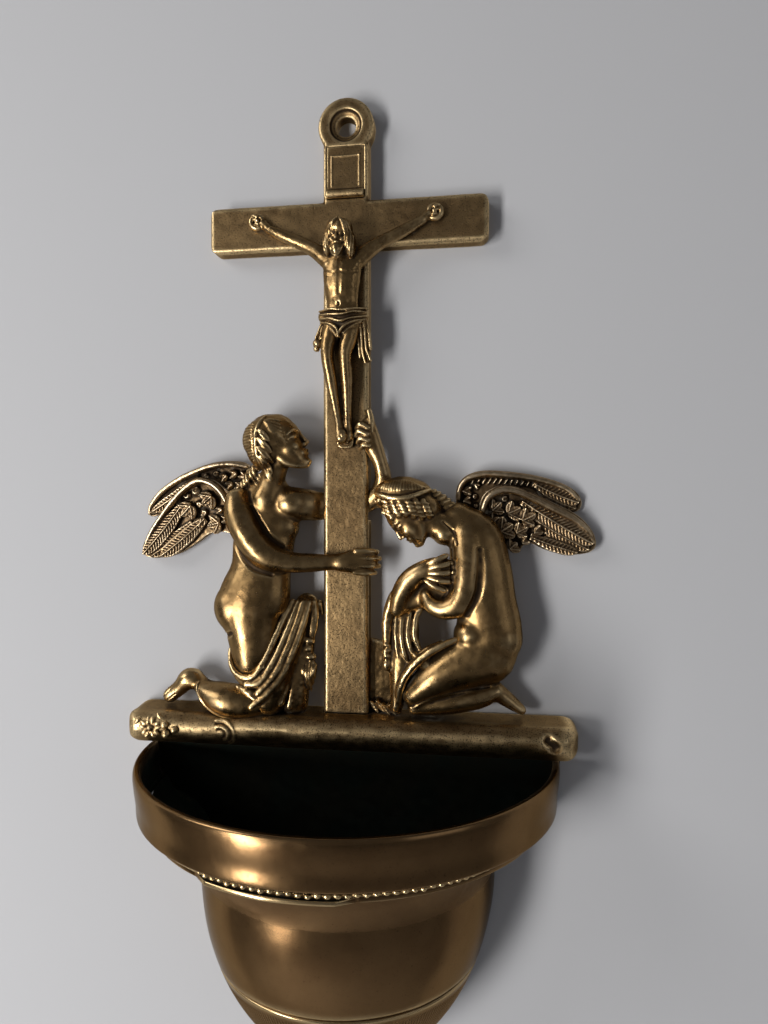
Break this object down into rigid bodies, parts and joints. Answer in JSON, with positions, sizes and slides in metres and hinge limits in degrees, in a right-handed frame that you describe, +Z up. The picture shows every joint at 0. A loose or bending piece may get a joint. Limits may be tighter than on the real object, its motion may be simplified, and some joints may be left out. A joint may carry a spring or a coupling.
{
  "type": "holy water stoup",
  "caption": "Wall stoup of cast brass: a crucifix with a kneeling winged figure at each side, on a bar above a half-round water basin.",
  "frame": {"origin": "centre of the hanging hole on the wall plane", "axes": "+X to the viewer's right, -Y out of the wall towards the viewer, +Z up"},
  "size_m": [0.1456, 0.065, 0.2877],
  "materials": {
    "worn_brass": "cast brass, worn and browned, bevels bright",
    "figure_brass": "cast brass, rubbed bright on the high forms, brown in the folds",
    "wing_brass": "cast brass, dark in the chased lines",
    "basin_brass": "cast brass, brown outside, dark green tarnish inside",
    "dark_brass": "tarnished brass"
  },
  "bodies": {
    "root": {"cross": "worn_brass", "title_scroll": "worn_brass", "corpus": "figure_brass", "corpus_nails": "dark_brass", "left_angel": "figure_brass", "left_angel_drapery": "figure_brass", "left_angel_front_wing": "wing_brass", "left_angel_rear_wing": "wing_brass", "right_angel": "figure_brass", "right_angel_drapery": "figure_brass", "right_angel_front_wing": "wing_brass", "right_angel_rear_wing": "wing_brass", "plinth": "worn_brass", "plinth_flowers": "wing_brass", "basin_bowl": "basin_brass", "basin_band": "basin_brass", "bead_ring": "wing_brass", "basin_calyx": "basin_brass", "basin_back_plate": "dark_brass", "basin_screws": "dark_brass"}
  },
  "joints": []
}
